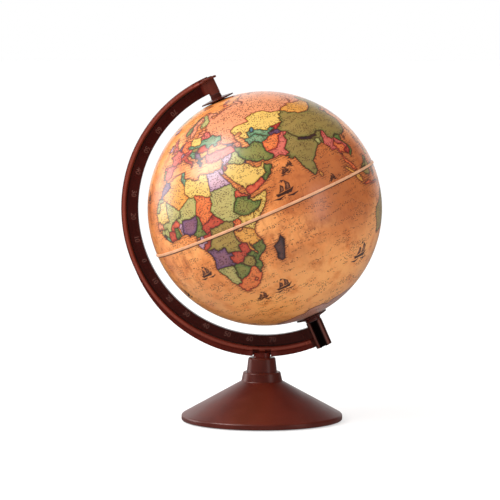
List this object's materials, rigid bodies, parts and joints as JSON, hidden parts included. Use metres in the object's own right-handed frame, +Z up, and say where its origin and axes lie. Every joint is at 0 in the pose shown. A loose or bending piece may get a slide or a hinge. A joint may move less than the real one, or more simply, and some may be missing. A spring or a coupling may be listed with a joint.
{
  "type": "desktop globe",
  "caption": "Ball with a world map that turns about a tilted axis in a half-circle arm, on a stem and a weighted conical base.",
  "frame": {"origin": "on the stem's axis, in the plane of the table under the base", "axes": "+Z up; the half-circle arm and the globe's axis lie in the XZ plane, the upper pole leans towards -X, and the side shown to the viewer faces -Y"},
  "size_m": [0.2226, 0.2018, 0.2957],
  "materials": {
    "brown_plastic": "satin",
    "brown_plastic_cap": "satin",
    "black_plastic": "satin",
    "cover_plastic": "matte",
    "map_plastic": "lacquered print",
    "band_plastic": "satin",
    "inner_plastic": "matte",
    "nylon": "matte",
    "zinc_steel": "zinc plated",
    "cast_ballast": "as cast",
    "foot_rubber": "matte"
  },
  "bodies": {
    "stand": {"base_shell": "brown_plastic", "base_cover": "cover_plastic", "base_ballast": "cast_ballast", "cover_screw_1": "zinc_steel", "cover_screw_2": "zinc_steel", "cover_screw_3": "zinc_steel", "cover_screw_4": "zinc_steel", "foot_pad_1": "foot_rubber", "foot_pad_2": "foot_rubber", "foot_pad_3": "foot_rubber", "foot_pad_4": "foot_rubber", "stem": "brown_plastic", "arm_screw": "zinc_steel", "arm_screw_washer": "zinc_steel", "arm": "brown_plastic", "upper_axle_pin": "black_plastic", "upper_washer": "nylon"},
    "globe": {"north_shell": "map_plastic", "south_shell": "map_plastic", "equator_band": "band_plastic", "joining_ring": "inner_plastic", "upper_retaining_ring": "inner_plastic", "lower_retaining_ring": "inner_plastic", "upper_pole_cap": "brown_plastic_cap", "lower_pole_cap": "brown_plastic_cap", "lower_washer": "nylon", "lower_axle_rod": "black_plastic"}
  },
  "joints": [
    {"name": "globe_spin", "type": "hinge", "parent": "stand", "child": "globe", "pos_m": [0.0024, 0, 0.1819], "axis": [-0.3987, 0, 0.9171], "continuous": true}
  ]
}
